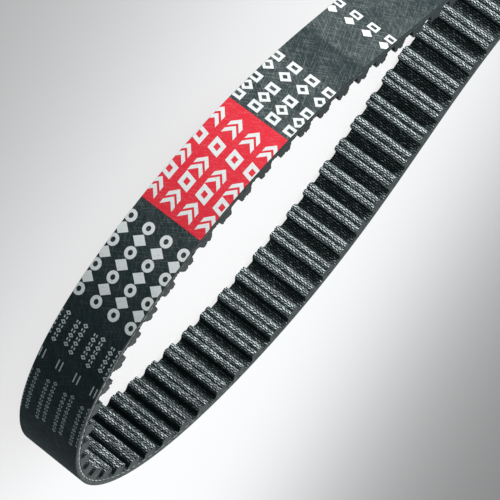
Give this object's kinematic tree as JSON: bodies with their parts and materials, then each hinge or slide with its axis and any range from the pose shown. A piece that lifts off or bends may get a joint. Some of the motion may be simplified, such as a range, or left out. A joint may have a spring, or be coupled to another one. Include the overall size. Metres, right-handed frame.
{
  "type": "timing belt",
  "caption": "Endless toothed rubber drive belt with a flat printed back, glass cords and fabric-faced teeth, lying on its edge as a waisted oval loop.",
  "frame": {"origin": "under the middle of the loop, on the surface that the belt's lower edge rests on", "axes": "+Z along the belt's width; +X along the loop's long way, towards the nose of section_01; teeth face the middle of the loop"},
  "size_m": [0.3822, 0.1072, 0.02],
  "materials": {
    "backing_rubber": "satin black rubber with fine brushed grinding marks",
    "glass_cord": "treated glass fibre cord",
    "tooth_rubber": "matt black rubber",
    "tooth_facing": "dark woven nylon with bright worn weft threads",
    "print_white": "matt white printing ink",
    "print_red": "matt red printing ink"
  },
  "bodies": {
    "section_01": {"backing_01": "backing_rubber", "cords_01": "glass_cord", "teeth_01": "tooth_rubber", "facing_01": "tooth_facing"},
    "section_02": {"backing_02": "backing_rubber", "cords_02": "glass_cord", "teeth_02": "tooth_rubber", "facing_02": "tooth_facing"},
    "section_03": {"backing_03": "backing_rubber", "cords_03": "glass_cord", "teeth_03": "tooth_rubber", "facing_03": "tooth_facing"},
    "section_04": {"backing_04": "backing_rubber", "cords_04": "glass_cord", "teeth_04": "tooth_rubber", "facing_04": "tooth_facing"},
    "section_05": {"backing_05": "backing_rubber", "cords_05": "glass_cord", "teeth_05": "tooth_rubber", "facing_05": "tooth_facing"},
    "section_06": {"backing_06": "backing_rubber", "cords_06": "glass_cord", "teeth_06": "tooth_rubber", "facing_06": "tooth_facing"},
    "section_07": {"backing_07": "backing_rubber", "cords_07": "glass_cord", "teeth_07": "tooth_rubber", "facing_07": "tooth_facing"},
    "section_08": {"backing_08": "backing_rubber", "cords_08": "glass_cord", "teeth_08": "tooth_rubber", "facing_08": "tooth_facing"},
    "section_09": {"backing_09": "backing_rubber", "cords_09": "glass_cord", "teeth_09": "tooth_rubber", "facing_09": "tooth_facing"},
    "section_10": {"backing_10": "backing_rubber", "cords_10": "glass_cord", "teeth_10": "tooth_rubber", "facing_10": "tooth_facing"}
  },
  "joints": [
    {"name": "flex_03_04", "type": "hinge", "parent": "section_03", "child": "section_04", "pos_m": [-0.00294, 0.02427, 0.01], "axis": [0, 0, 1], "range_deg": [-9, 16], "stiffness_Nm_per_rad": 0.1},
    {"name": "flex_01_02", "type": "hinge", "parent": "section_01", "child": "section_02", "pos_m": [0.16636, 0.03844, 0.01], "axis": [0, 0, 1], "range_deg": [-12.95, 7.29], "stiffness_Nm_per_rad": 0.1},
    {"name": "flex_02_03", "type": "hinge", "parent": "section_02", "child": "section_03", "pos_m": [0.08107, 0.0483, 0.01], "axis": [0, 0, 1], "range_deg": [-2.79, 4.95], "stiffness_Nm_per_rad": 0.1},
    {"name": "flex_04_05", "type": "hinge", "parent": "section_04", "child": "section_05", "pos_m": [-0.0868, 0.0496, 0.01], "axis": [0, 0, 1], "range_deg": [-2.79, 4.95], "stiffness_Nm_per_rad": 0.1},
    {"name": "flex_05_06", "type": "hinge", "parent": "section_05", "child": "section_06", "pos_m": [-0.17118, 0.03507, 0.01], "axis": [0, 0, 1], "range_deg": [-12.95, 7.29], "stiffness_Nm_per_rad": 0.1},
    {"name": "flex_01_10", "type": "hinge", "parent": "section_01", "child": "section_10", "pos_m": [0.17118, -0.03507, 0.01], "axis": [0, 0, -1], "range_deg": [-12.95, 7.29], "stiffness_Nm_per_rad": 0.1},
    {"name": "flex_10_09", "type": "hinge", "parent": "section_10", "child": "section_09", "pos_m": [0.0868, -0.0496, 0.01], "axis": [0, 0, -1], "range_deg": [-2.79, 4.95], "stiffness_Nm_per_rad": 0.1},
    {"name": "flex_09_08", "type": "hinge", "parent": "section_09", "child": "section_08", "pos_m": [0.00294, -0.02427, 0.01], "axis": [0, 0, -1], "range_deg": [-9.01, 16.01], "stiffness_Nm_per_rad": 0.1},
    {"name": "flex_06_07", "type": "hinge", "parent": "section_06", "child": "section_07", "pos_m": [-0.16636, -0.03844, 0.01], "axis": [0, 0, 1], "range_deg": [-12.95, 7.29], "stiffness_Nm_per_rad": 0.1}
  ],
  "couplings": [
    {"joint": "flex_01_02", "follows": "flex_03_04", "ratio": -0.809},
    {"joint": "flex_02_03", "follows": "flex_03_04", "ratio": 0.309},
    {"joint": "flex_04_05", "follows": "flex_03_04", "ratio": 0.309},
    {"joint": "flex_05_06", "follows": "flex_03_04", "ratio": -0.809},
    {"joint": "flex_01_10", "follows": "flex_03_04", "ratio": -0.809},
    {"joint": "flex_10_09", "follows": "flex_03_04", "ratio": 0.309},
    {"joint": "flex_09_08", "follows": "flex_03_04", "ratio": 1},
    {"joint": "flex_06_07", "follows": "flex_03_04", "ratio": -0.809}
  ]
}
